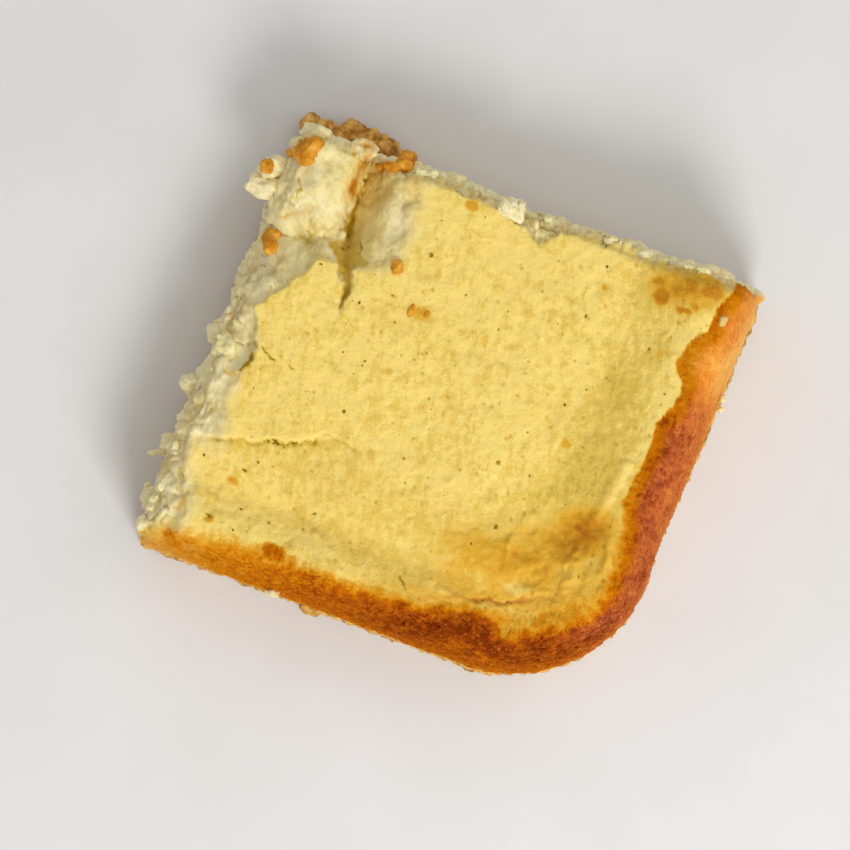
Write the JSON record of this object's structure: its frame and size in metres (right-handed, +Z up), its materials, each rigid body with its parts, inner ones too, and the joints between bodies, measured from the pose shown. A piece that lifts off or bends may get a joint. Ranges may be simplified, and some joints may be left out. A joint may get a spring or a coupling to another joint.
{
  "type": "cheesecake piece",
  "caption": "Square corner piece of baked cheesecake with a browned rim, a pale sunken top, a torn corner and a pressed biscuit crumb base under the filling.",
  "frame": {"origin": "middle of the whole piece's plan, at the flat underside of the crumb base", "axes": "+X points to the baked right side, -Y to the baked front side, +Z up out of the top skin"},
  "size_m": [0.1124, 0.1043, 0.0375],
  "materials": {
    "biscuit_crumb": "rough pressed golden-brown biscuit crumb",
    "baked_cheese": "moist satin butter-yellow baked skin with a toasted brown rim and pale crumbly curd where it is cut"
  },
  "bodies": {
    "root": {"crumb_base": "biscuit_crumb", "cheese_filling": "baked_cheese"}
  },
  "joints": []
}
